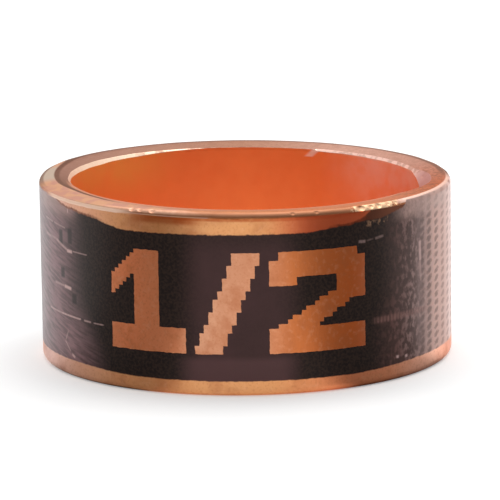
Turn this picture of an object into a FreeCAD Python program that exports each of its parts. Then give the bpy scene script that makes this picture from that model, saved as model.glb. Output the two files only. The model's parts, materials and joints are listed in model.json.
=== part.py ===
"""Copper crimp ring for half-inch plastic water tube.

One short length of drawn copper tube. Its lower end is square. Its upper end was sawn a little out
of square and deburred by hand, so no two stretches of that edge are alike. Sizes are millimetres and
degrees. +Z is the ring's axis, and the ring stands on z = 0 with the axis through the origin. Angles
round the ring start at the front, towards -Y, and grow towards +X.
"""

import FreeCAD
import Part

import math
import os

# The tube that the ring is cut from
BORE_DIAMETER = 16.0
WALL = 1.45
WIDTH = 8.25

# The upper end leans to the right: WIDTH is its height on the axis, and its left side is higher
UPPER_END_LEAN = 0.6

# Outer corners of the two ends, rolled over by the cut-off wheel
UPPER_ROUNDING = 0.27
LOWER_ROUNDING = 0.30

# The upper end falls off towards the bore, inside a level ring along its outer edge
END_FALL = 7.0
LEVEL_RING = 0.40

# Lower end of the bore: one even chamfer all round
LOWER_CHAMFER = 0.10

# Upper end of the bore, left: a deburring cone narrower than the bore leans against this side and
# takes a crescent off the edge. Undersize is how much its radius falls short of the bore's.
LEFT_DEBURR_UNDERSIZE = 0.12
LEFT_DEBURR_LEAN = 0.40
LEFT_DEBURR_ANGLE = -116.0

# Upper end of the bore, right: a long thin crescent, which breaks off in a step at the back
RIGHT_DEBURR_OVERSIZE = 0.12
RIGHT_DEBURR_LEAN = 0.12
RIGHT_DEBURR_ANGLE = 110.0
RIGHT_DEBURR_STOP_ANGLE = 155.0

# Upper end of the bore, far right: a short deep crescent that a much smaller cone took out
GOUGE_UNDERSIZE = 2.60
GOUGE_LEAN = 3.24
GOUGE_ANGLE = 82.0

# Flat dressed on the outer edge at the left front, a shallow cone that falls away outwards
FACET_REACH = 1.07
FACET_EDGE_RADIUS = 12.0
FACET_SLOPE = 8.0
FACET_ANGLE = -65.5

# Nicks in the outer edge of the upper end: angle, length along the edge, depth
NICKS = [
    (-32.3, 0.30, 0.07),
    (-29.8, 0.22, 0.05),
    (-26.0, 0.28, 0.06),
    (12.8, 0.20, 0.04),
    (19.5, 0.18, 0.04),
    (33.0, 0.46, 0.12),
    (36.4, 0.30, 0.07),
    (39.0, 0.38, 0.09),
    (42.5, 0.26, 0.06),
    (45.5, 0.34, 0.07),
]

# How far a cutting shape reaches past the metal that it cuts
OVERCUT = 0.2

BORE_RADIUS = BORE_DIAMETER / 2
OUTER_RADIUS = BORE_RADIUS + WALL
NODE = "crimp_ring"

CENTRE = FreeCAD.Vector(0, 0, 0)
UP = FreeCAD.Vector(0, 0, 1)
BACK = FreeCAD.Vector(0, 1, 0)
RIGHT = FreeCAD.Vector(1, 0, 0)


def at(angle, radius, height):
    """The point at an angle round the ring, a distance from its axis and a height."""
    turn = math.radians(angle)
    return FreeCAD.Vector(radius * math.sin(turn), -radius * math.cos(turn), height)


def section_point(radius, height):
    """A point of the wall's section, which is drawn at the front and spun round the axis."""
    return at(0, radius, height)


def leaned(tool):
    """A tool that was set out for a square upper end, turned to lean with that end."""
    tool.rotate(at(0, 0, WIDTH), BACK, UPPER_END_LEAN)
    return tool


def tube_stock():
    """The tube with its lower end finished and its upper end not yet sawn: a section spun round."""
    hub_radius = OUTER_RADIUS - LOWER_ROUNDING
    diagonal = LOWER_ROUNDING * math.sqrt(0.5)
    chamfer_foot = section_point(BORE_RADIUS + LOWER_CHAMFER, 0)
    rounding_foot = section_point(hub_radius, 0)
    rounding_middle = section_point(hub_radius + diagonal, LOWER_ROUNDING - diagonal)
    wall_foot = section_point(OUTER_RADIUS, LOWER_ROUNDING)
    wall_top = section_point(OUTER_RADIUS, WIDTH + OVERCUT)
    bore_top = section_point(BORE_RADIUS, WIDTH + OVERCUT)
    chamfer_top = section_point(BORE_RADIUS, LOWER_CHAMFER)
    section = Part.Wire([
        Part.LineSegment(chamfer_foot, rounding_foot).toShape(),
        Part.Arc(rounding_foot, rounding_middle, wall_foot).toShape(),
        Part.LineSegment(wall_foot, wall_top).toShape(),
        Part.LineSegment(wall_top, bore_top).toShape(),
        Part.LineSegment(bore_top, chamfer_top).toShape(),
        Part.LineSegment(chamfer_top, chamfer_foot).toShape(),
    ])
    return Part.Face(section).revolve(CENTRE, UP, 360)


def falling_end():
    """A very blunt cone, point down, that gives the upper end its fall towards the bore."""
    run_per_drop = 1 / math.tan(math.radians(END_FALL))
    level_edge = OUTER_RADIUS - LEVEL_RING
    foot_radius = BORE_RADIUS - OVERCUT
    depth = (level_edge - foot_radius) / run_per_drop
    top_radius = level_edge + OVERCUT * run_per_drop
    return leaned(Part.makeCone(foot_radius, top_radius, depth + OVERCUT, at(0, 0, WIDTH - depth), UP))


def sawn_blank():
    """The tube sawn to length, with the outer edge of the saw cut rolled over and its end falling."""
    side = 4 * OUTER_RADIUS
    offcut = Part.makeBox(side, side, WIDTH, FreeCAD.Vector(-side / 2, -side / 2, WIDTH))
    tube = tube_stock().cut(leaned(offcut))
    upper_edges = [edge for edge in tube.Edges if edge.BoundBox.ZMin > WIDTH / 2]
    outer_edge = max(upper_edges, key=lambda edge: edge.BoundBox.XLength)
    return tube.makeFillet(UPPER_ROUNDING, [outer_edge]).cut(falling_end())


def deburring_cone(radius_change, lean, angle):
    """A 45-degree cone, point down, that stands off the axis and bites the bore's upper edge.

    In the plane of the upper end its radius is the bore's plus radius_change. It reaches just far
    enough down to come clear of the bore's wall.
    """
    depth = radius_change + lean + OVERCUT
    face_radius = BORE_RADIUS + radius_change
    foot = at(angle, lean, WIDTH - depth)
    cone = Part.makeCone(face_radius - depth, face_radius + OVERCUT, depth + OVERCUT, foot, UP)
    # The cone's seam turns away from the metal that it bites
    cone.rotate(foot, UP, angle + 90)
    return leaned(cone)


def left_deburr():
    """The crescent taken off the bore's edge at the left."""
    return deburring_cone(-LEFT_DEBURR_UNDERSIZE, LEFT_DEBURR_LEAN, LEFT_DEBURR_ANGLE)


def right_deburr():
    """The thin crescent at the right, cut off square where the tool was lifted at the back."""
    cone = deburring_cone(RIGHT_DEBURR_OVERSIZE, RIGHT_DEBURR_LEAN, RIGHT_DEBURR_ANGLE)
    span = 2 * (OUTER_RADIUS + RIGHT_DEBURR_LEAN + OVERCUT)
    kept_side = Part.makeBox(span, span, 2 * WIDTH, FreeCAD.Vector(0, -span / 2, 0))
    kept_side.rotate(CENTRE, UP, RIGHT_DEBURR_STOP_ANGLE - 180)
    return cone.common(kept_side)


def gouge():
    """The short deep crescent at the far right."""
    return deburring_cone(-GOUGE_UNDERSIZE, GOUGE_LEAN, GOUGE_ANGLE)


def facet_envelope():
    """A wide cone that holds the whole ring but for the shallow facet on its outer edge."""
    run_per_drop = 1 / math.tan(math.radians(FACET_SLOPE))
    offset = FACET_EDGE_RADIUS - (OUTER_RADIUS - FACET_REACH)
    foot = at(FACET_ANGLE + 180, offset, -OVERCUT)
    foot_radius = FACET_EDGE_RADIUS + (WIDTH + OVERCUT) * run_per_drop
    top_radius = FACET_EDGE_RADIUS - OVERCUT * run_per_drop
    return leaned(Part.makeCone(foot_radius, top_radius, WIDTH + 2 * OVERCUT, foot, UP))


def nick(angle, length, depth):
    """A ball that dents the rolled outer edge by its depth over its length."""
    radius = (length**2 / 4 + depth**2) / (2 * depth)
    diagonal = math.sqrt(0.5)
    hub_to_ball = UPPER_ROUNDING + radius - depth
    ball_radius = OUTER_RADIUS - UPPER_ROUNDING + hub_to_ball * diagonal
    ball_height = WIDTH - UPPER_ROUNDING + hub_to_ball * diagonal
    # The ball's poles lie along the edge and its seam outside the ring, clear of the metal
    ball = Part.makeSphere(radius)
    ball.rotate(CENTRE, RIGHT, 90)
    ball.rotate(CENTRE, UP, angle - 90)
    ball.translate(at(angle, ball_radius, ball_height))
    return leaned(ball)


def crimp_ring():
    """The finished ring: the blank with its facet dressed, its bore deburred and its edge nicked."""
    ring = sawn_blank().common(facet_envelope())
    ring = ring.cut(left_deburr())
    ring = ring.cut(right_deburr())
    ring = ring.cut(gouge())
    for angle, length, depth in NICKS:
        ring = ring.cut(nick(angle, length, depth))
    return ring.Solids[0]


os.makedirs("parts", exist_ok=True)
ring = crimp_ring()
ring.exportStep("parts/" + NODE + ".step")

box = ring.optimalBoundingBox(False, False)
print("crimp_ring: valid", ring.isValid(), "solids", len(ring.Solids), "faces", len(ring.Faces))
print("size %.3f x %.3f x %.3f mm, foot at %.3f" % (box.XLength, box.YLength, box.ZLength, box.ZMin))
print("volume %.2f mm3" % ring.Volume)
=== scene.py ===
"""The looks of a copper crimp ring: a hand-deburred ring of drawn tube with a worn printed band.

The ring is modelled in millimetres and brought down to metres at the end. Angles round it are
degrees from the front, towards -Y, and grow to the right, towards +X.
"""
import json
import math

import bmesh
import bpy
from mathutils import Matrix, Vector, noise


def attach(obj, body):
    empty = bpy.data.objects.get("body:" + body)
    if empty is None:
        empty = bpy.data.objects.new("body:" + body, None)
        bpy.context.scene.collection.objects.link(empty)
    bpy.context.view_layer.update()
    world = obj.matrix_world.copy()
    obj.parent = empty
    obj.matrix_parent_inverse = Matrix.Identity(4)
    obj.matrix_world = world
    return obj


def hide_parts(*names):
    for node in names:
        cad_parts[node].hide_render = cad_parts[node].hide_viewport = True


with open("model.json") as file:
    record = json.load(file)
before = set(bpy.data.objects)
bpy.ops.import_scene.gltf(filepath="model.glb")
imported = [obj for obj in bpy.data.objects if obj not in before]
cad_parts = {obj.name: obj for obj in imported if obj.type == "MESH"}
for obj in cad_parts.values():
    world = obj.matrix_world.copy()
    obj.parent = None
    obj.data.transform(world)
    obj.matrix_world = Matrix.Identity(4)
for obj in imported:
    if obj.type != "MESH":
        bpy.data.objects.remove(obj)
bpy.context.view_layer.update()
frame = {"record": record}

MM = 0.001
NODE = "crimp_ring"


def mount_radius(name):
    """The radius of one of the ring's round mounts, in millimetres."""
    for mount in frame["record"]["mounts"]:
        if mount["name"] == name:
            return mount["dims"]["r_mm"]


BORE = mount_radius("tube_bore")
OUTSIDE = mount_radius("tool_jaws")
WIDTH = 8.25

# The upper end leans to the right: WIDTH is its height on the axis
UPPER_END_LEAN = 0.6

# The rim: its roundings, and the end's fall towards the bore
UPPER_ROUNDING = 0.27
LOWER_ROUNDING = 0.30
LOWER_CHAMFER = 0.10
END_FALL = 7.0
LEVEL_RING = 0.40
LEVEL_EDGE = OUTSIDE - LEVEL_RING
# The deburring cones: how much wider than the bore, how far off the axis, and which way
LEFT_CONE = (-0.12, 0.40, -116.0)
RIGHT_CONE = (0.12, 0.12, 110.0)
RIGHT_CONE_STOP = 155.0
GOUGE_CONE = (-2.60, 3.24, 82.0)
# The dressed facet
FACET_REACH = 1.07
FACET_EDGE_RADIUS = 12.0
FACET_SLOPE = 8.0
FACET_ANGLE = -65.5
# Angle, length and depth of each nick in the upper outer edge
NICKS = [
    (-32.3, 0.30, 0.07),
    (-29.8, 0.22, 0.05),
    (-26.0, 0.28, 0.06),
    (12.8, 0.20, 0.04),
    (19.5, 0.18, 0.04),
    (33.0, 0.46, 0.12),
    (36.4, 0.30, 0.07),
    (39.0, 0.38, 0.09),
    (42.5, 0.26, 0.06),
    (45.5, 0.34, 0.07),
]

# How uneven the hand and the wheel left the rim: the deburred edge in millimetres, and the upper
# rounding as a share of itself
DEBURR_RIPPLE = 0.02
ROUNDING_RIPPLE = 0.15
# The narrowest that the deburred edge and the falling end get, and the widest that the first gets
LEAST_CUT = 0.015
LEAST_FALL = 0.03
WIDEST_CUT = OUTSIDE - 0.3 - BORE

# The wall is spun through one sector, which is then repeated round the axis
SECTORS = 12
SECTOR_STEPS = 100
MERGE_DISTANCE = 0.001
# Steps along the stretches of the wall's section
WALL_STEPS = 12
END_STEPS = 3
UPPER_CORNER_STEPS = 9
LOWER_CORNER_STEPS = 7
# How close a row stands beside each corner, and the largest share of a stretch that this may be
CORNER_HOLD = 0.02
LARGEST_HOLD = 0.3
# How often the search for a crossing halves its stretch
HALVINGS = 14
# How far below the end the nicks reach
NICK_REACH = 0.5
# The lean grows up the wall, but not within this margin of either end
LEAN_MARGIN = 1.0


def ripple(angle, detail, seed):
    """Smooth unevenness round the ring, from about -1 to 1, that meets itself at the back."""
    turn = math.radians(angle)
    return noise.noise(Vector((detail * math.cos(turn), detail * math.sin(turn), seed)))


def cone_depth(angle, radius, cone):
    """How deep a deburring cone cuts below the end's plane at a point."""
    growth, offset, towards = cone
    apart = math.radians(angle - towards)
    reach = math.hypot(radius * math.cos(apart) - offset, radius * math.sin(apart))
    return BORE + growth - reach


def cut_depth(angle, radius):
    """How deep the deepest of the cones cuts, with a hand's unevenness."""
    depth = max(cone_depth(angle, radius, LEFT_CONE), cone_depth(angle, radius, GOUGE_CONE))
    if RIGHT_CONE_STOP - 180 < angle < RIGHT_CONE_STOP:
        depth = max(depth, cone_depth(angle, radius, RIGHT_CONE))
    return depth + DEBURR_RIPPLE * ripple(angle, detail=9, seed=1.7)


def facet_drop(angle, radius):
    """How far the dressed facet lies below the end's plane at a point."""
    offset = FACET_EDGE_RADIUS - (OUTSIDE - FACET_REACH)
    apart = math.radians(angle - FACET_ANGLE)
    reach = math.hypot(radius * math.cos(apart) + offset, radius * math.sin(apart))
    return (reach - FACET_EDGE_RADIUS) * math.tan(math.radians(FACET_SLOPE))


def fall_drop(radius):
    """How far the end has fallen towards the bore at a radius."""
    return (LEVEL_EDGE - radius) * math.tan(math.radians(END_FALL))


def end_drop(angle, radius):
    """How far the finished end lies below its plane at a point."""
    return max(0.0, fall_drop(radius), facet_drop(angle, radius), cut_depth(angle, radius))


def crossing(low, high, passed):
    """Where between two numbers a test that fails at the low end starts to pass."""
    for _ in range(HALVINGS):
        middle = (low + high) / 2
        if passed(middle):
            high = middle
        else:
            low = middle
    return low


def corner_point(lean, rounding):
    """A point of the upper outer rounding, lean degrees down from its top."""
    turn = math.radians(lean)
    radius = OUTSIDE - rounding + rounding * math.sin(turn)
    return radius, WIDTH - rounding + rounding * math.cos(turn)


def above_facet(angle, point):
    """Whether the facet cuts a point away."""
    return point[1] > WIDTH - facet_drop(angle, point[0])


def between(start, end, steps):
    """Points from start to end, both left out, with a close row next to each."""
    length = math.dist(start, end)
    hold = min(CORNER_HOLD / length, LARGEST_HOLD)
    shares = [hold + (1 - 2 * hold) * step / steps for step in range(steps + 1)]
    return [tuple(a + (b - a) * share for a, b in zip(start, end)) for share in shares]


def section(angle):
    """The wall's section at an angle: up the bore from its foot, over the rim, down the outside."""
    rounding = UPPER_ROUNDING * (1 + ROUNDING_RIPPLE * ripple(angle, detail=7, seed=4.1))
    foot = (BORE + LOWER_CHAMFER, 0.0)
    bore_foot = (BORE, LOWER_CHAMFER)
    bore_top = (BORE, WIDTH - end_drop(angle, BORE))

    def past_cut(radius):
        return cut_depth(angle, radius) < max(fall_drop(radius), facet_drop(angle, radius))

    def on_facet(radius):
        return facet_drop(angle, radius) > fall_drop(radius)

    cut_edge = max(crossing(BORE, BORE + WIDEST_CUT, past_cut), BORE + LEAST_CUT)
    ridge = max(crossing(cut_edge, LEVEL_EDGE, on_facet), cut_edge + LEAST_FALL)
    # The facet may take the start of the rounding away
    facet_lean = crossing(0, 90, lambda lean: not above_facet(angle, corner_point(lean, rounding)))
    corner = corner_point(facet_lean, rounding)[0]

    def on_end(start, end):
        radii = [point[0] for point in between((start, 0), (end, 0), END_STEPS)]
        return [(radius, WIDTH - end_drop(angle, radius)) for radius in radii]

    points = [foot, *between(foot, bore_foot, 1), bore_foot]
    points += [*between(bore_foot, bore_top, WALL_STEPS), bore_top]
    points += [*on_end(BORE, cut_edge), (cut_edge, WIDTH - end_drop(angle, cut_edge))]
    points += [*on_end(cut_edge, ridge), (ridge, WIDTH - end_drop(angle, ridge))]
    points += on_end(ridge, corner)
    for step in range(UPPER_CORNER_STEPS + 1):
        lean = facet_lean + (90 - facet_lean) * step / UPPER_CORNER_STEPS
        points.append(corner_point(lean, rounding))
    points += between((OUTSIDE, WIDTH - rounding), (OUTSIDE, LOWER_ROUNDING), WALL_STEPS)
    hub_radius = OUTSIDE - LOWER_ROUNDING
    for step in range(LOWER_CORNER_STEPS + 1):
        turn = math.radians(90 * step / LOWER_CORNER_STEPS)
        out, down = LOWER_ROUNDING * math.cos(turn), LOWER_ROUNDING * math.sin(turn)
        points.append((hub_radius + out, LOWER_ROUNDING - down))
    points += between((hub_radius, 0.0), foot, END_STEPS)
    return points


def nick_ball(angle, length, depth):
    """Centre and radius of the ball that dents the rolled edge by its depth over its length."""
    radius = (length**2 / 4 + depth**2) / (2 * depth)
    reach = (UPPER_ROUNDING + radius - depth) * math.sqrt(0.5)
    out = OUTSIDE - UPPER_ROUNDING + reach
    up = WIDTH - UPPER_ROUNDING + reach
    turn = math.radians(angle)
    return Vector((out * math.sin(turn), -out * math.cos(turn), up)), radius


def angle_of(point):
    """The angle round the ring at which a point lies."""
    return math.degrees(math.atan2(point.x, -point.y))


def dent_edge(mesh):
    """Presses the nicks into the rim."""
    high = [vert for vert in mesh.verts if vert.co.z > WIDTH - NICK_REACH]
    near_rim = [vert for vert in high if vert.co.to_2d().length > LEVEL_EDGE]
    for nick in NICKS:
        centre, radius = nick_ball(*nick)
        for vert in near_rim:
            away = vert.co - centre
            if away.length < radius:
                vert.co = centre + away.normalized() * radius


def ring_mesh():
    """The ring's wall: a section spun round the axis, then set to its true shape at each angle."""
    mesh = bmesh.new()
    row_of = mesh.verts.layers.int.new("row")
    first = [mesh.verts.new((0, -radius, height)) for radius, height in section(0)]
    for row, vert in enumerate(first):
        vert[row_of] = row
    for here, there in zip(first, first[1:] + first[:1]):
        mesh.edges.new((here, there))
    about = {"axis": (0, 0, 1), "cent": (0, 0, 0)}
    turn = 2 * math.pi / SECTORS
    profile = mesh.verts[:] + mesh.edges[:]
    bmesh.ops.spin(mesh, geom=profile, angle=turn, steps=SECTOR_STEPS, **about)
    sector = mesh.verts[:] + mesh.edges[:] + mesh.faces[:]
    bmesh.ops.spin(
        mesh, geom=sector, angle=2 * math.pi - turn, steps=SECTORS - 1, use_duplicate=True, **about
    )
    bmesh.ops.remove_doubles(mesh, verts=mesh.verts[:], dist=MERGE_DISTANCE)
    sections = {}
    for vert in mesh.verts:
        angle = round(angle_of(vert.co), 4)
        if angle not in sections:
            sections[angle] = section(angle)
        radius, height = sections[angle][vert[row_of]]
        outward = vert.co.to_2d().normalized() * radius
        vert.co = (outward.x, outward.y, height)
    dent_edge(mesh)
    for vert in mesh.verts:
        share = min(1, max(0, vert.co.z - LEAN_MARGIN) / (WIDTH - 2 * LEAN_MARGIN))
        vert.co.z -= share * vert.co.x * math.tan(math.radians(UPPER_END_LEAN))
    bmesh.ops.recalc_face_normals(mesh, faces=mesh.faces[:])
    bmesh.ops.scale(mesh, vec=(MM, MM, MM), verts=mesh.verts[:])
    return mesh


def finished_piece(mesh, name, material):
    """A smooth-shaded object from a bmesh."""
    for face in mesh.faces:
        face.smooth = True
    data = bpy.data.meshes.new(name)
    mesh.to_mesh(data)
    mesh.free()
    data.materials.append(material)
    piece = bpy.data.objects.new(name, data)
    bpy.context.scene.collection.objects.link(piece)
    return piece


# Shader maths


class Graph:
    """The node tree of a material or a world, with one method that adds any node."""

    def __init__(self, owner):
        owner.use_nodes = True
        self.tree = owner.node_tree
        self.tree.nodes.clear()

    def node(self, kind, settings=None, sockets=None, out=0):
        """Adds a node, with numbers or wires in its sockets, and returns one of its outputs."""
        made = self.tree.nodes.new("ShaderNode" + kind)
        for name, value in (settings or {}).items():
            if name == "stops":
                set_stops(made.color_ramp, value)
            else:
                setattr(made, name, value)
        for name, value in (sockets or {}).items():
            if isinstance(value, Wire):
                self.tree.links.new(value.socket, made.inputs[name])
            else:
                made.inputs[name].default_value = value
        return Wire(self, made.outputs[out]) if len(made.outputs) else None


def set_stops(ramp, stops):
    """Gives a colour ramp its stops, each a place and a colour."""
    while len(ramp.elements) < len(stops):
        ramp.elements.new(1.0)
    for element, (place, colour) in zip(ramp.elements, stops):
        element.position = place
        element.color = colour


class Wire:
    """A node's output that takes part in sums, each of which adds a Math node."""

    def __init__(self, graph, socket):
        self.graph = graph
        self.socket = socket

    def math(self, operation, *others):
        """A Math node's result from this output and others."""
        return self.graph.node("Math", {"operation": operation}, dict(enumerate([self, *others])))

    def output(self, name):
        """Another output of the same node."""
        return Wire(self.graph, self.socket.node.outputs[name])

    def __add__(self, other):
        return self.math("ADD", other)

    __radd__ = __add__

    def __mul__(self, other):
        return self.math("MULTIPLY", other)

    __rmul__ = __mul__

    def __sub__(self, other):
        return self.math("SUBTRACT", other)

    def __rsub__(self, other):
        return self.graph.node("Math", {"operation": "SUBTRACT"}, {0: other, 1: self})

    def __truediv__(self, other):
        return self.math("DIVIDE", other)

    def __neg__(self):
        return self * -1

    def __abs__(self):
        return self.math("ABSOLUTE")

    def __and__(self, other):
        return self.math("MULTIPLY", other)

    def __or__(self, other):
        return self.math("MAXIMUM", other)

    def __invert__(self):
        return 1 - self

    def rise(self, low, high):
        """0 below low, 1 above high, and smooth between."""
        return self.graph.node(
            "MapRange",
            {"interpolation_type": "SMOOTHSTEP"},
            {"Value": self, "From Min": low, "From Max": high},
        )

    def within(self, low, high, soft):
        """1 between low and high, with edges that fade over soft."""
        return self.rise(low - soft, low + soft) & ~self.rise(high - soft, high + soft)


def mix_colour(share, first, second):
    """The first colour where share is 0 and the second where it is 1."""
    graph = share.graph
    return graph.node(
        "Mix", {"data_type": "RGBA"}, {"Factor": share, 6: first, 7: second}, out=2
    )


# The material of the ring

# The print in front and at the left, its scuffs and rubbing, and the reflection in front and the
# sheen at the left that are painted on it
INK = (0.010, 0.007, 0.007, 1)
BROWN_INK = (0.045, 0.026, 0.018, 1)
# Painted reflection on the ink in front, lighter near its foot
FRONT_INK_REFLECTION = (0.075, 0.036, 0.037, 1)
FOOT_INK_REFLECTION = (0.15, 0.072, 0.074, 1)
INK_FLECK = (0.22, 0.12, 0.07, 1)
# Painted grazing sheen on the ink at the left
LEFT_INK_SHEEN = (0.28, 0.15, 0.16, 1)
LEFT_RUBBED = (0.52, 0.33, 0.28, 1)
TICK_BLACK = (0.012, 0.006, 0.006, 1)
SCUFF = (0.66, 0.43, 0.40, 1)

# The print at the right: worn brown, then to dots on bared copper
RED_INK = (0.13, 0.060, 0.052, 1)
WORN_SPECK = (0.29, 0.18, 0.165, 1)
WORN_BROWN = (0.24, 0.15, 0.14, 1)
WORN_COPPER = (0.66, 0.38, 0.31, 1)
# Bared copper, painted pale with its grazing sheen
WORN_PINK_SHEEN = (0.92, 0.62, 0.55, 1)
WORN_MOTTLE = (0.50, 0.33, 0.30, 1)
DARK_DOT = (0.13, 0.070, 0.058, 1)
RED_DOT = (0.42, 0.18, 0.13, 1)
RIGHT_RUBBED = (0.56, 0.36, 0.31, 1)
RED_SPOT = (0.42, 0.20, 0.17, 1)

BORE_COPPER = (0.96, 0.33, 0.11, 1)
BORE_RED = (0.93, 0.28, 0.09, 1)
BORE_MUSTARD = (0.93, 0.50, 0.13, 1)
BORE_SALMON = (1.00, 0.56, 0.38, 1)
BORE_LILAC = (0.98, 0.58, 0.44, 1)
# A painted highlight on a lip of metal turned into the bore
LIP_HIGHLIGHT = (1.00, 0.76, 0.66, 1)

# Stains on the drawn wall, and a dark reflection painted on it
DARK_STAIN_AND_REFLECTION = (0.40, 0.08, 0.018, 1)
RED_STAIN = (0.50, 0.08, 0.03, 1)
WALL_BROWN = (0.42, 0.13, 0.05, 1)
WALL_PALE = (0.90, 0.52, 0.32, 1)
INK_EDGE = (0.14, 0.035, 0.018, 1)
UNDER_CHIPS = (0.120, 0.045, 0.028, 1)

# The rim: its rolled edge, the dressed facet, the sawn end and the cuts
ROLLED_EDGE = (0.40, 0.15, 0.07, 1)
ROLLED_PINK = (0.95, 0.68, 0.57, 1)
ROLLED_TAN = (0.47, 0.215, 0.12, 1)
ROLLED_LIGHT = (0.88, 0.52, 0.36, 1)
FACET_TAN = (0.68, 0.40, 0.25, 1)
FACET_PINK = (0.60, 0.33, 0.25, 1)
FACET_WHITE = (0.56, 0.48, 0.39, 1)
INNER_TAN = (0.74, 0.36, 0.22, 1)
# Painted shade along the crease between the facet and the end
CREASE_SHADE = (0.12, 0.06, 0.04, 1)
# Painted glint on the burr under the rolled edge
BURR_GLINT = (1.00, 0.67, 0.50, 1)
BRIGHT_CUT = (0.98, 0.72, 0.54, 1)
PINK_CUT = (0.98, 0.64, 0.54, 1)
GOUGE_LILAC = (0.62, 0.33, 0.31, 1)
END_DIRT = (0.22, 0.10, 0.06, 1)
GOLDEN_CHIP = (0.94, 0.63, 0.40, 1)
OUTLINE_BROWN = (0.17, 0.10, 0.075, 1)

# The tint of the skin's sheen, and how rough the skin is: the least, and what its mottling, the
# bore and the sawn end add
SHEEN_TINT = (0.80, 0.58, 0.52, 1)
ROUGHNESS = (0.27, 0.12, 0.2, 0.18)

# Tints by angle round the ring: of the drawn wall, of its bare margins, and of the sawn end. They
# hold the copper's own tarnish and also painted reflection, lighter or darker as each side mirrors
# a lighter or darker part of the room
WALL_TINTS = [
    (-180, (0.66, 0.28, 0.14, 1)),
    (-70, (0.66, 0.33, 0.22, 1)),
    (-45, (0.72, 0.27, 0.14, 1)),
    (-34, (0.82, 0.25, 0.105, 1)),
    (-20, (0.62, 0.21, 0.095, 1)),
    (-12, (0.60, 0.29, 0.17, 1)),
    (3, (0.56, 0.24, 0.13, 1)),
    (13, (0.54, 0.16, 0.05, 1)),
    (30, (0.54, 0.12, 0.03, 1)),
    (62, (0.66, 0.38, 0.29, 1)),
    (180, (0.66, 0.28, 0.14, 1)),
]
MARGIN_TINTS = [
    (-180, (0.66, 0.28, 0.14, 1)),
    (-70, (0.90, 0.56, 0.47, 1)),
    (-54, (0.78, 0.40, 0.26, 1)),
    (-36, (0.74, 0.33, 0.14, 1)),
    (-24, (0.64, 0.26, 0.10, 1)),
    (-12, (0.70, 0.33, 0.14, 1)),
    (6, (0.70, 0.32, 0.13, 1)),
    (26, (0.72, 0.23, 0.10, 1)),
    (42, (0.82, 0.32, 0.17, 1)),
    (62, (0.95, 0.56, 0.42, 1)),
    (90, (0.90, 0.50, 0.38, 1)),
    (180, (0.66, 0.28, 0.14, 1)),
]
END_TINTS = [
    (-180, (0.46, 0.25, 0.17, 1)),
    (-140, (0.42, 0.24, 0.18, 1)),
    (-98, (0.32, 0.18, 0.14, 1)),
    (-68, (0.14, 0.07, 0.045, 1)),
    (-40, (0.62, 0.33, 0.22, 1)),
    (0, (0.62, 0.26, 0.12, 1)),
    (45, (0.64, 0.24, 0.12, 1)),
    (75, (0.56, 0.17, 0.08, 1)),
    (112, (0.56, 0.31, 0.24, 1)),
    (145, (0.62, 0.38, 0.30, 1)),
    (180, (0.46, 0.25, 0.17, 1)),
]

# Heights at which the skin turns from the wall to the rolled edge and to the end
ROLL_FOOT = (8.00, 8.05)
END_FOOT = (7.95, 8.0)

# The band's two edges. The upper one climbs to the rim: by how much, and between which angles
INK_BOTTOM = 0.68
INK_TOP = 7.27
LEFT_CLIMBS = [(0.36, 34, 49), (0.12, 49, 57), (0.35, 57, 69)]
RIGHT_CLIMBS = [(0.14, 17, 25), (0.12, 28, 34), (0.26, 38, 48), (0.50, 47, 52)]

# The numbers stand on a grid of printed cells: columns round the ring, rows up it
GRID_START = -39.3
COLUMN = 2.52
GRID_FOOT = 1.90
ROW = 0.38

# The dots of the worn print: the angle that their columns spread from, and the height of a row
DOTS_START = 41.44
DOT_ROW = 0.368
# A faint row of red spots between the numbers and the dots
SPOTS_HEIGHT = 2.94
SPOT_SPACING = 1.25

# Scuffs on the ink: angle and height of both ends, half width, and strength
SCUFFS = [
    (-73, 6.97, -67, 6.90, 0.05, 0.45),
    (-66, 6.90, -59, 6.81, 0.05, 0.40),
    (-73, 6.22, -65, 6.18, 0.07, 0.35),
    (-64.6, 6.17, -58.2, 5.84, 0.07, 0.60),
    (-58.3, 5.80, -55.6, 5.80, 0.09, 1.00),
    (-55.2, 5.84, -48.8, 5.83, 0.04, 0.45),
    (-66, 4.16, -60, 4.14, 0.06, 0.50),
    (-60, 4.13, -56.4, 4.09, 0.09, 1.00),
    (-70.5, 2.86, -62, 2.84, 0.05, 0.55),
    (-62, 2.84, -52, 2.81, 0.05, 0.80),
    (-50.5, 2.80, -47.6, 2.79, 0.05, 0.60),
    (-46.5, 2.78, -42.6, 2.78, 0.04, 0.45),
    (-60.2, 1.60, -57.4, 1.20, 0.05, 0.50),
    (-56.6, 1.08, -55.2, 0.97, 0.07, 1.00),
    (-58.4, 2.10, -60.0, 1.66, 0.05, 0.35),
    (-57.6, 7.75, -57.4, 7.55, 0.04, 0.90),
    (31.9, 6.62, 34.0, 6.60, 0.08, 0.32),
    (34.6, 6.62, 36.6, 6.66, 0.05, 0.12),
    (37.4, 6.66, 40.2, 6.72, 0.07, 0.24),
    (44.9, 1.09, 45.8, 1.07, 0.08, 0.80),
    (48.4, 1.01, 49.4, 1.03, 0.08, 0.80),
    (55.6, 6.10, 55.8, 5.20, 0.11, 0.70),
    (55.8, 5.25, 56.0, 4.25, 0.09, 0.30),
]
# Plain printed ticks on the left: angle, foot, top
TICKS = [(-61.7, 6.02, 6.69), (-56.6, 6.14, 6.86), (-60.9, 4.50, 4.97), (-54.9, 3.45, 3.90)]

# Chips of clean copper in the rolled edge: middle, half width, and how low each reaches
CHIPS = [
    (33.0, 1.9, 7.72),
    (36.3, 1.3, 7.80),
    (38.5, 1.2, 7.86),
    (40.8, 1.3, 7.88),
    (43.2, 0.9, 7.98),
    (45.6, 0.8, 8.04),
]


def ramp_of_angles(angle, tints):
    """A colour that runs through tints round the ring."""
    stops = [((degrees + 180) / 360, colour) for degrees, colour in tints]
    return angle.graph.node("ValToRGB", {"stops": stops}, {"Fac": (angle + 180) / 360})


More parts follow.
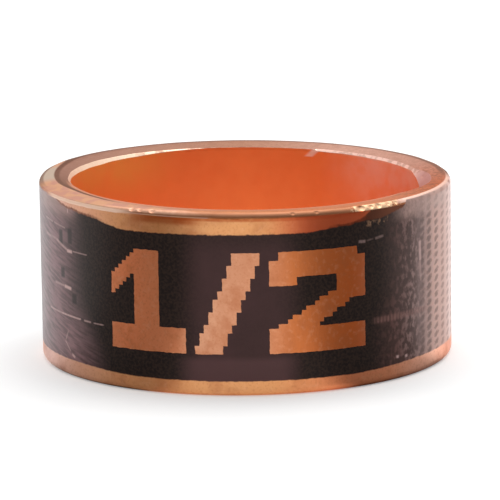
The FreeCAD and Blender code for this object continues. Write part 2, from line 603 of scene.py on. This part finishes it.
class Surface:
    """Where a point lies on the ring, in millimetres and degrees, with noises laid over it."""

    def __init__(self, graph):
        self.graph = graph
        place = graph.node("TexCoord", out="Object")
        self.point = graph.node("VectorMath", {"operation": "SCALE"}, {0: place, "Scale": 1 / MM})
        self.x = graph.node("SeparateXYZ", None, {0: self.point})
        self.y, self.z = self.x.output("Y"), self.x.output("Z")
        self.angle = self.x.math("ARCTAN2", -self.y) * math.degrees(1)
        self.left = -self.angle
        self.radius = (self.x * self.x + self.y * self.y).math("SQRT")
        self.arc = self.angle * (math.radians(1) * OUTSIDE)
        # Height measured to the leaning upper end, where it is WIDTH all round
        self.level = self.z + self.x * math.tan(math.radians(UPPER_END_LEAN))
        normal = graph.node("NewGeometry", out="Normal")
        self.facing_up = graph.node("SeparateXYZ", None, {0: normal}, out="Z")
        self.coarse = self.noise(0.9, 3)
        self.fine = self.noise(4.0, 3)
        self.grain = self.noise(9.0, 2)

    def noise(self, scale, detail=2.0, stretch=(1, 1, 1)):
        """Noise from 0 to 1, about 0.5, with scale lumps to the millimetre."""
        graph = self.graph
        spot = graph.node("VectorMath", {"operation": "MULTIPLY"}, {0: self.point, 1: stretch})
        return graph.node("TexNoise", None, {"Vector": spot, "Scale": scale, "Detail": detail})

    def line(self, start, end, half_width):
        """1 along a straight mark on the wall, with soft edges; its ends are (angle, height)."""
        to_arc = math.radians(1) * OUTSIDE
        run, rise = (end[0] - start[0]) * to_arc, end[1] - start[1]
        length = math.hypot(run, rise)
        run, rise = run / length, rise / length
        right, up = self.arc - start[0] * to_arc, self.z - start[1]
        aside = abs(right * rise - up * run)
        along = right * run + up * rise
        return ~aside.rise(half_width * 0.3, half_width * 1.3) & along.within(0, length, 0.06)


class Regions:
    """The parts of the ring's skin, each a mask that is 1 on its part."""

    def __init__(self, surface):
        angle, radius, level = surface.angle, surface.radius, surface.level
        outer = radius.rise(OUTSIDE - 0.26, OUTSIDE - 0.18)
        self.rolled = level.rise(*ROLL_FOOT) & outer
        # How far the facet has passed the falling end: 0 a little before the ridge between them
        self.past_ridge = self.facet_depth(surface) - fall_depth(radius)
        self.past_ridge = self.past_ridge + 0.018 + 0.05 * angle.within(-72, -46, 8)
        self.facet = self.past_ridge.rise(-0.005, 0.005) & level.rise(*END_FOOT)
        self.end = level.rise(*END_FOOT) & (self.rolled | ~outer | self.facet)
        # The deburring cones left slanting skin, next to the bore and near the top
        slanting = surface.facing_up.within(0.45, 0.93, 0.08) & ~radius.rise(8.72, 8.82)
        self.cut = slanting & level.rise(7, 7.3)
        self.bore = ~radius.rise(BORE + 0.01, BORE + 0.03) & ~surface.facing_up.rise(0.3, 0.5)
        self.wall = radius.rise(OUTSIDE - 0.12, OUTSIDE - 0.06)
        # A painted glint on a ragged burr that hangs under the rolled edge at the left
        low = 7.96 - 0.10 * surface.noise(1.5, 3)
        self.burr_glint = level.rise(low, low + 0.03) & ~level.rise(8.07, 8.11)
        self.burr_glint = self.burr_glint & self.wall & angle.within(-69.5, -34, 4)
        # The margins at the left are tarnished, and dull instead of mirror bright
        low_margin = ~surface.z.rise(1.2, 1.6) & surface.left.within(22, 84, 10)
        high_margin = surface.z.rise(7, 7.2) & surface.left.within(30, 70, 6)
        self.dull = self.wall & (low_margin | high_margin) & ~level.rise(8.0, 8.1)

    @staticmethod
    def facet_depth(surface):
        """How far the dressed facet lies below the end's plane."""
        offset = FACET_EDGE_RADIUS - (OUTSIDE - FACET_REACH)
        turn = math.radians(FACET_ANGLE)
        reach = surface.graph.node("VectorMath", {"operation": "DISTANCE"}, {
            0: surface.graph.node("CombineXYZ", None, {0: surface.x, 1: surface.y}),
            1: (-offset * math.sin(turn), offset * math.cos(turn), 0),
        }, out="Value")
        return (reach - FACET_EDGE_RADIUS) * math.tan(math.radians(FACET_SLOPE))


def fall_depth(radius):
    """How far the end has fallen towards the bore, and 0 on the level ring."""
    return ((LEVEL_EDGE - radius) * math.tan(math.radians(END_FALL))).math("MAXIMUM", 0)


def numbers(surface, wobble):
    """1 where the band is left bare for the numbers. Their edges step by half cells."""
    half_columns = (surface.angle + wobble * 0.6 - GRID_START) / (COLUMN / 2)
    half_rows = (surface.z + wobble * 0.08 - GRID_FOOT) / (ROW / 2)
    column = half_columns.math("FLOOR") * 0.5 + 0.25
    row = half_rows.math("FLOOR") * 0.5 + 0.25

    def cells(value, low, high):
        return value.math("COMPARE", (low + high) / 2, (high - low) / 2)

    # The 1: its foot, its stem and its flag
    one = cells(column, 0, 9) & cells(row, 0, 3)
    one = one | (cells(column, 3, 6) & cells(row, 0, 12))
    one = one | (cells(column, 0, 3.2) & cells(row - column, 6.2, 9.0))
    slash = cells(column - row * 0.37, 9.9, 12.9) & cells(row, 0, 12)
    # The 2: its foot, its slanting stroke, its right side, its top and its tip
    two = cells(column, 18, 29) & cells(row, 0, 3)
    stroke = cells(column - row * 1.5, 14.2, 18.6) & cells(row, 2, 7) & cells(column, 18, 28.2)
    two = two | stroke
    two = two | (cells(column, 25.6, 29) & cells(row, 6, 11))
    two = two | (cells(column, 19, 28) & cells(row, 9, 12))
    two = two | (cells(column, 18, 21) & cells(row, 8, 11))
    return one | slash | two


def ink_top(surface):
    """Height of the band's upper edge, which climbs to the rim on both sides."""
    top = INK_TOP
    for climb, start, end in LEFT_CLIMBS:
        top = top + climb * surface.left.rise(start, end)
    for climb, start, end in RIGHT_CLIMBS:
        top = top + climb * surface.angle.rise(start, end)
    return top + 0.12 * (surface.fine - 0.5) + 0.05 * (surface.grain - 0.5)


def ink_bottom(surface):
    """Height of the band's lower edge, a little higher at both sides."""
    return INK_BOTTOM + 0.14 * abs(surface.angle).rise(28, 58) + 0.08 * (surface.fine - 0.5)


def bore_copper(surface):
    """The bright bore: mustard at the far left, salmon at the right, and paler there at the top."""
    angle, level = surface.angle, surface.level
    copper = mix_colour(surface.coarse.rise(0.35, 0.75) * 0.5, BORE_COPPER, BORE_RED)
    mustard = angle.within(-148, -98, 14) & level.rise(5.2, 7.7)
    copper = mix_colour(mustard * (0.3 + 0.9 * surface.coarse), copper, BORE_MUSTARD)
    blotch = surface.noise(1.1, 3).rise(0.30, 0.70)
    salmon = angle.within(100, 140, 16) & level.rise(3.5, 7)
    copper = mix_colour(salmon * (0.4 + 0.6 * blotch), copper, BORE_SALMON)
    lip = angle.within(96, 142, 12) & level.rise(6.5, 7.7)
    copper = mix_colour(lip * (0.35 + 0.6 * blotch), copper, BORE_LILAC)
    # A painted highlight on a slanting lip of metal, turned in where the tool was lifted
    slanting = angle + 8 * (level - END_FOOT[0])
    lip_highlight = slanting.within(154.7, 157.5, 0.8) & level.rise(7.73, 7.79)
    return mix_colour(lip_highlight, copper, LIP_HIGHLIGHT)


def wall_copper(surface, top):
    """The drawn outside: darkened under the rolled edge by a painted dark reflection and a stain,
    stained along the ink, mottled all over.
    """
    angle, level = surface.angle, surface.level
    middle = surface.z.within(1.3, 7.1, 0.3)
    margins, drawn = ramp_of_angles(angle, MARGIN_TINTS), ramp_of_angles(angle, WALL_TINTS)
    wall = mix_colour(middle, margins, drawn)
    wall = mix_colour(surface.coarse.rise(0.48, 0.72) * 0.45, wall, WALL_BROWN)
    wall = mix_colour(surface.fine.rise(0.50, 0.74) * 0.12, wall, WALL_PALE)
    wall = mix_colour(surface.grain.rise(0.50, 0.70) * 0.25, wall, WALL_BROWN)
    # Painted dark reflection: a dark line at the foot of the rolled edge in front
    dark_reflection = level.within(7.86, 8.02, 0.05) & angle.within(-26, 31, 6)
    wall = mix_colour(dark_reflection * (0.3 + 0.8 * surface.fine), wall, DARK_STAIN_AND_REFLECTION)
    dark_patch = level.within(7.66, 8.1, 0.12) & angle.within(-31, -13, 5)
    wall = mix_colour(dark_patch * (0.4 + 0.8 * surface.coarse), wall, DARK_STAIN_AND_REFLECTION)
    red = level.rise(6.9, 7.2) & angle.within(10, 40, 8)
    wall = mix_colour(red * 0.85, wall, RED_STAIN)
    # The ink bled a little above its edge, and the wedge under the chips is darker
    bled = (surface.z - top).within(-0.10, 0.09 + 0.6 * angle.rise(31, 40), 0.05)
    bled = bled & (angle.within(24, 60, 4) | angle.within(-66, -44, 4))
    bled = bled * (0.5 + 0.6 * surface.fine + 0.5 * angle.rise(31, 40))
    edge = mix_colour(angle.rise(31, 37), INK_EDGE, UNDER_CHIPS)
    return mix_colour(bled.math("MINIMUM", 1), wall, edge)


def sawn_end(surface, regions):
    """The end face, the dressed facet, the rolled edge with its chips, and the painted glint of the
    burr under it.
    """
    angle, level = surface.angle, surface.level
    end = ramp_of_angles(angle, END_TINTS)
    dirt = surface.grain.rise(0.45, 0.65) | surface.noise(2.2, 3).rise(0.50, 0.65)
    end = mix_colour(dirt * (0.22 + 0.38 * angle.within(50, 105, 10)), end, END_DIRT)
    pinkish = surface.noise(1.6, 3).rise(0.42, 0.58)
    inner = ~surface.radius.rise(8.16, 8.32) & angle.within(-80, 60, 8)
    end = mix_colour(inner * 0.8, end, INNER_TAN)
    # Partly polish and partly painted reflection: the facet is lighter than the sawn end, and
    # whiter at the far left
    facet = mix_colour(pinkish, FACET_TAN, FACET_PINK)
    facet = mix_colour(surface.left.within(84, 104, 4), facet, FACET_WHITE)
    end = mix_colour(regions.facet, end, facet)
    # Painted shade: a dark line along the crease between the facet and the end
    crease_shade = regions.past_ridge.within(-0.060, 0.004, 0.016) & surface.left.rise(38, 50)
    end = mix_colour(crease_shade * (0.45 + 0.6 * surface.fine), end, CREASE_SHADE)
    outline = surface.radius.rise(8.93, 9.06) & (surface.left.rise(72, 88) | angle.rise(84, 96))
    outline = outline & (surface.radius.rise(9.2, 9.3) | ~regions.facet)
    end = mix_colour(outline * (0.45 + 0.5 * surface.coarse), end, OUTLINE_BROWN)

    chipped = angle.within(29, 47, 1.5) & surface.grain.rise(0.50, 0.62) * 0.7
    for middle, half_width, low in CHIPS:
        edge = low + 0.16 * (abs(angle - middle) / half_width) + 0.10 * (surface.grain - 0.5)
        aside = abs(angle - middle).rise(half_width, half_width + 0.5)
        chipped = chipped | ((level - edge).rise(-0.01, 0.02) & ~aside)
    pink = angle.rise(43, 50) & ~angle.rise(88, 96) & level.rise(8.07, 8.12)
    rolled = mix_colour(pink * (0.7 + 0.5 * surface.grain), ROLLED_EDGE, ROLLED_PINK)
    tan = angle.within(-52, 34, 5) & level.rise(8.03, 8.12)
    tan_colour = mix_colour(angle.rise(-26, -8), ROLLED_LIGHT, ROLLED_TAN)
    rolled = mix_colour(tan * (0.45 + 0.8 * surface.fine), rolled, tan_colour)
    rolled = mix_colour(outline, rolled, OUTLINE_BROWN)
    rolled = mix_colour(chipped, rolled, GOLDEN_CHIP)
    end = mix_colour(regions.rolled & (~regions.facet | angle.rise(-46, -38)), end, rolled)
    return mix_colour(regions.burr_glint, end, BURR_GLINT)


def edge_cut(surface):
    """Colour of the deburred edge, and how much of it shows: it breaks into dashes at the right."""
    angle = surface.angle
    broken = (0.8 * angle.within(96, 150, 6)) | abs(angle).rise(134, 148)
    dashes = 1 - 0.75 * broken * ~surface.noise(2.4, 2).rise(0.42, 0.54)
    shown = dashes * ~angle.within(-62, 48, 6) * (0.75 + 0.4 * surface.fine)
    colour = mix_colour(angle.within(90, 160, 5), BRIGHT_CUT, PINK_CUT)
    return mix_colour(angle.within(58, 101, 6), colour, GOUGE_LILAC), shown


def lattice(surface):
    """The ink dots on the right, in columns that stand further apart round the ring."""
    angle, bend = surface.angle, surface.fine - 0.5
    columns = 2 * (angle - DOTS_START).math("MAXIMUM", 0).math("SQRT") - 8.3
    across = columns.math("FRACT") - 0.5
    rows = surface.z / DOT_ROW + 0.37 * columns.math("FLOOR") - 0.5 * across + 0.6 * bend
    up = rows.math("FRACT") - 0.5
    across = across + 0.5 * (surface.grain - 0.5)
    away = (across * across * 1.5 + up * up).math("SQRT")
    return ~away.rise(0.18, 0.49 + 0.12 * ~angle.rise(60, 64))


def worn_right_side(surface, ink):
    """The print at the right: worn to a mottled brown, and then to dots on bared copper, painted
    pale pink further round with its grazing sheen.
    """
    angle, z, fine = surface.angle, surface.z, surface.fine
    in_front = ~(angle + 16 * (fine - 0.5)).rise(98, 114)
    reach = angle + 4 * ~z.rise(2.2, 5)
    specks = surface.noise(4.6, 3, (1, 1, 0.75)).rise(0.42, 0.66)
    brown = mix_colour(specks * angle.rise(43, 56), RED_INK, WORN_SPECK)
    ink = mix_colour(reach.rise(38, 51) * (0.4 + 0.6 * specks) & in_front, ink, brown)
    ground = mix_colour(angle.rise(54, 66), WORN_BROWN, WORN_COPPER)
    # Further round the bared copper turns pale pink, partly a painted grazing sheen
    ground = mix_colour(angle.rise(70, 84), ground, WORN_PINK_SHEEN)
    mottled = fine.rise(0.35, 0.70) * ~angle.rise(60, 74)
    ground = mix_colour(mottled * 0.55, ground, WORN_MOTTLE)
    dots = mix_colour(angle.rise(58, 76), DARK_DOT, RED_DOT)
    dot_share = lattice(surface) * 0.85 * angle.within(54, 104, 6)
    dotted = mix_colour(dot_share, ground, dots)
    ink = mix_colour(angle.rise(50, 60) & in_front, ink, dotted)
    rubbed = surface.level.rise(7.1, 7.7) & angle.within(47, 74, 5)
    ink = mix_colour(rubbed * (0.3 + 0.6 * surface.grain), ink, RIGHT_RUBBED)
    row = (z - SPOTS_HEIGHT).within(-0.14, 0.13, 0.08) & angle.within(37, 59, 2)
    spots = (angle / SPOT_SPACING).math("FRACT").within(0.35, 0.65, 0.2)
    return mix_colour(row * (0.16 + 0.5 * spots * fine), ink, RED_SPOT)


def printed_ink(surface):
    """The black print: lighter in front with a painted reflection, with a painted sheen and scuffs
    at the left, down to dots at the right.
    """
    angle, left, z, grain = surface.angle, surface.left, surface.z, surface.grain
    ink = mix_colour(grain.rise(0.35, 0.65) * 0.5, INK, BROWN_INK)
    # Painted reflection: the ink is lighter in front, and more so near its foot
    front_reflection = angle.within(-15, 12, 5) & (1 - 0.5 * z.rise(6.3, 7.2))
    ink = mix_colour(front_reflection * (0.55 + 0.7 * surface.coarse), ink, FRONT_INK_REFLECTION)
    low_front_reflection = angle.within(-17, 12, 4) & ~z.rise(1.5, 1.9)
    ink = mix_colour(low_front_reflection * 0.6, ink, FOOT_INK_REFLECTION)
    ink = worn_right_side(surface, ink)
    flecks = angle.within(34, 42, 1.5) & z.within(7.25, 7.62, 0.08)
    ink = mix_colour(flecks * surface.noise(5, 2).rise(0.50, 0.68), ink, INK_FLECK)

    # A painted grazing sheen at the left, further round near the foot and at the top, with slanting
    # streaks
    reach = left + 9 * ~z.rise(1.2, 4.2)
    left_sheen = (reach.rise(48, 66) | (left.rise(50, 58) & z.rise(7.0, 7.7))) & ~left.rise(74, 96)
    slant = surface.graph.node("CombineXYZ", None, {
        0: surface.arc * 0.3,
        1: (z + 0.22 * surface.arc) * 2.4,
    })
    streak = surface.graph.node("TexNoise", None, {"Vector": slant, "Scale": 2.6, "Detail": 4})
    streak = streak.rise(0.36, 0.62)
    ink = mix_colour(left_sheen * (0.48 + 0.5 * streak + 0.3 * (surface.fine - 0.5)), ink, LEFT_INK_SHEEN)
    rubbed = left.within(55, 78, 5) & z.rise(6.9, 7.9)
    ink = mix_colour(rubbed * 0.55, ink, LEFT_RUBBED)
    for tick_angle, foot, head in TICKS:
        tick = ~abs(angle - tick_angle).rise(0.6, 1.5) & z.within(foot, head, 0.07)
        ink = mix_colour(tick * 0.85, ink, TICK_BLACK)
    scuffed = None
    for *ends, half_width, strength in SCUFFS:
        mark = surface.line(ends[:2], ends[2:], half_width) * strength
        scuffed = scuffed | mark if scuffed else mark
    return mix_colour(scuffed * (0.55 + 0.7 * grain), ink, SCUFF)


def printed_copper():
    """Drawn copper, worn and stained, with a printed black band round the outside."""
    material = bpy.data.materials.new("printed_copper")
    graph = Graph(material)
    surface = Surface(graph)
    regions = Regions(surface)
    fine = surface.fine

    top = ink_top(surface)
    end = sawn_end(surface, regions)
    copper = mix_colour(regions.end | regions.burr_glint, wall_copper(surface, top), end)
    cut_colour, cut_shown = edge_cut(surface)
    copper = mix_colour(regions.cut * cut_shown, copper, cut_colour)
    copper = mix_colour(regions.bore, copper, bore_copper(surface))

    bottom = ink_bottom(surface)
    band = surface.z.rise(bottom - 0.03, bottom + 0.03) & ~surface.z.rise(top - 0.04, top + 0.04)
    bare = numbers(surface, fine - 0.5)
    ink_share = regions.wall & band & ~bare & ~regions.burr_glint

    height = surface.noise(14.0, 2, (1, 1, 0.25)) * 0.6 + fine * 0.4
    bump = graph.node("Bump", None, {"Height": height, "Distance": 1.5e-5, "Strength": 0.35})
    least, mottling, in_bore, on_end = ROUGHNESS
    rough = least + mottling * surface.coarse + in_bore * regions.bore
    rough = rough + on_end * (regions.end & ~regions.cut)

    def skin(colour, metallic):
        return graph.node("BsdfPrincipled", None, {
            "Base Color": colour,
            "Metallic": metallic,
            "Roughness": rough,
            "Specular IOR Level": 0.25,
            "Specular Tint": SHEEN_TINT,
            "Normal": bump,
        })

    # Less metal where the burr's painted glint is, so that it shows as bright colour, and on the
    # dull margins
    tarnish_and_glint = (regions.burr_glint * 0.9) | (regions.dull * 0.75)
    metal = skin(copper, 1 - tarnish_and_glint)
    ink = skin(printed_ink(surface), 0)
    mixed = graph.node("MixShader", None, {0: ink_share, 1: metal, 2: ink})
    graph.node("OutputMaterial", None, {"Surface": mixed})
    return material


# The stage

FLOOR_RADIUS = 0.15
FLOOR_SIDES = 96
FLOOR_WHITE = (0.8, 0.8, 0.8, 1)
# Two grey stretches of the floor, at both sides of the camera, show in the metal as darker bands.
# Where each starts and ends, in degrees from the camera, with its fade
GREY_START = (22, 34)
GREY_END = (66, 84)
FLOOR_GREY = (0.40, 0.40, 0.40, 1)
FLOOR_GLOW = 0.30
MIRRORED_GLOW = 0.5
# The room: how bright its wall is behind the camera, where that turns white, and where its ceiling
# starts
DARK_WALL = 0.22
WALL_TURNS = (72, 100)
CEILING = (0.55, 0.9)
LAMP_PLACE = (0.05, 0.1, 0.35)
LAMP_SIZE = 0.25
LAMP_POWER = 0.5


def azimuth(x, y):
    """How far round from the front a direction points, 0 to 180 degrees."""
    return abs(x.math("ARCTAN2", -y) * math.degrees(1))


def white_floor():
    """White paper that shows white to the camera and in the metal, and keeps the ring's shadow."""
    material = bpy.data.materials.new("floor_paper")
    graph = Graph(material)
    ray = graph.node("LightPath", out="Is Camera Ray")
    mirrored = ray.output("Is Glossy Ray") | ray.output("Is Transmission Ray")
    x = graph.node("SeparateXYZ", None, {0: graph.node("TexCoord", out="Object")})
    side = azimuth(x, x.output("Y"))
    shaded = side.rise(*GREY_START) & ~side.rise(*GREY_END)
    level = ray * FLOOR_GLOW + mirrored * MIRRORED_GLOW * ~shaded
    paper = graph.node("BsdfDiffuse", None, {"Color": FLOOR_WHITE})
    grey = graph.node("BsdfDiffuse", None, {"Color": FLOOR_GREY})
    paper = graph.node("MixShader", None, {0: mirrored & shaded, 1: paper, 2: grey})
    glow = graph.node("Emission", None, {"Color": (1, 1, 1, 1), "Strength": level})
    both = graph.node("AddShader", None, {0: paper, 1: glow})
    graph.node("OutputMaterial", None, {"Surface": both})
    material.cycles.emission_sampling = "NONE"
    return material


def studio_world():
    """A white room that is darker behind the camera."""
    world = bpy.data.worlds.new("studio")
    bpy.context.scene.world = world
    graph = Graph(world)
    ray = graph.node("LightPath", out="Is Camera Ray")
    x = graph.node("SeparateXYZ", None, {0: graph.node("TexCoord", out="Generated")})
    z = x.output("Z")
    wall = DARK_WALL + (1 - DARK_WALL) * azimuth(x, x.output("Y")).rise(*WALL_TURNS)
    room = wall + (1.0 - wall) * z.rise(*CEILING)
    level = room + (1 - room) * ray
    light = graph.node("Background", None, {"Color": (1, 1, 1, 1), "Strength": level})
    graph.node("OutputWorld", None, {"Surface": light})


def soft_lamp(name, place, size, power):
    """A square soft box that faces the ring."""
    data = bpy.data.lights.new(name, "AREA")
    data.size = size
    data.energy = power
    lamp = bpy.data.objects.new(name, data)
    lamp.location = place
    lamp.rotation_euler = (RING_CENTRE - Vector(place)).to_track_quat("-Z", "Y").to_euler()
    bpy.context.scene.collection.objects.link(lamp)


# The camera, fitted to the ring's outline in the photograph

CAMERA_ELEVATION = 11.53
CAMERA_DISTANCE = 0.1946
CAMERA_LENS = 303.6
CAMERA_ROLL = -0.81
FRAME_OFFSET = (0.000189, 0.000568)
RING_CENTRE = Vector((0, 0, WIDTH * MM / 2))


def add_camera():
    """Looks down on the ring from the front. It stands a little left of and below the middle."""
    rise = math.radians(CAMERA_ELEVATION)
    forward = Vector((0, math.cos(rise), -math.sin(rise)))
    up = Vector((0, math.sin(rise), math.cos(rise)))
    data = bpy.data.cameras.new("camera")
    data.lens = CAMERA_LENS
    data.sensor_width = 36
    data.clip_start = CAMERA_DISTANCE / 10
    camera = bpy.data.objects.new("camera", data)
    camera.location = RING_CENTRE - forward * CAMERA_DISTANCE
    target = RING_CENTRE + Vector((1, 0, 0)) * FRAME_OFFSET[0] + up * FRAME_OFFSET[1]
    aim = (target - camera.location).to_track_quat("-Z", "Y").to_matrix()
    roll = Matrix.Rotation(math.radians(CAMERA_ROLL), 3, "Z")
    camera.rotation_euler = (aim @ roll).to_euler()
    bpy.context.scene.collection.objects.link(camera)
    bpy.context.scene.camera = camera


def add_floor():
    """A round sheet of white paper under the ring."""
    mesh = bmesh.new()
    bmesh.ops.create_circle(mesh, cap_ends=True, segments=FLOOR_SIDES, radius=FLOOR_RADIUS)
    floor = finished_piece(mesh, "floor", white_floor())


ring = finished_piece(ring_mesh(), "ring", printed_copper())
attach(ring, "root")
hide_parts(NODE)
add_floor()
studio_world()
soft_lamp("overhead_softbox", LAMP_PLACE, LAMP_SIZE, LAMP_POWER)
add_camera()
bpy.context.scene.view_settings.view_transform = "Standard"
